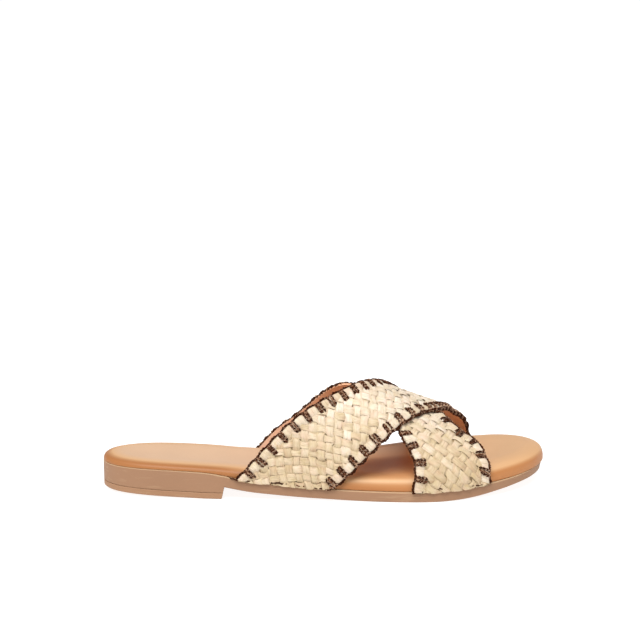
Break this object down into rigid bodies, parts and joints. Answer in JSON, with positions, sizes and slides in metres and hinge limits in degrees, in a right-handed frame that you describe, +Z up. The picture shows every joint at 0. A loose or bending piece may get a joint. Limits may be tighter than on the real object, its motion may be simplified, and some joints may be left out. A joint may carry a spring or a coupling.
{
  "type": "mule sandal",
  "caption": "Slip-on mule sandal for the right foot: crossed woven raffia straps over a padded leather footbed, on a thin rubber sole with a low block heel.",
  "frame": {"origin": "middle of the bounding box on the floor plane that the sole stands on", "axes": "+X from the heel towards the toe, +Y towards the medial side, +Z up"},
  "size_m": [0.2498, 0.0912, 0.062],
  "materials": {
    "outsole": "matte tan-brown moulded rubber",
    "heel_top_lift": "matte tan-brown moulded rubber, a little warmer than the sole",
    "footbed": "smooth tan leather over padding",
    "upper": "plaited cream raffia with dark brown whip-stitched edges"
  },
  "bodies": {
    "root": {"outsole": "outsole", "heel_top_lift": "heel_top_lift", "footbed": "footbed", "upper": "upper"}
  },
  "joints": []
}
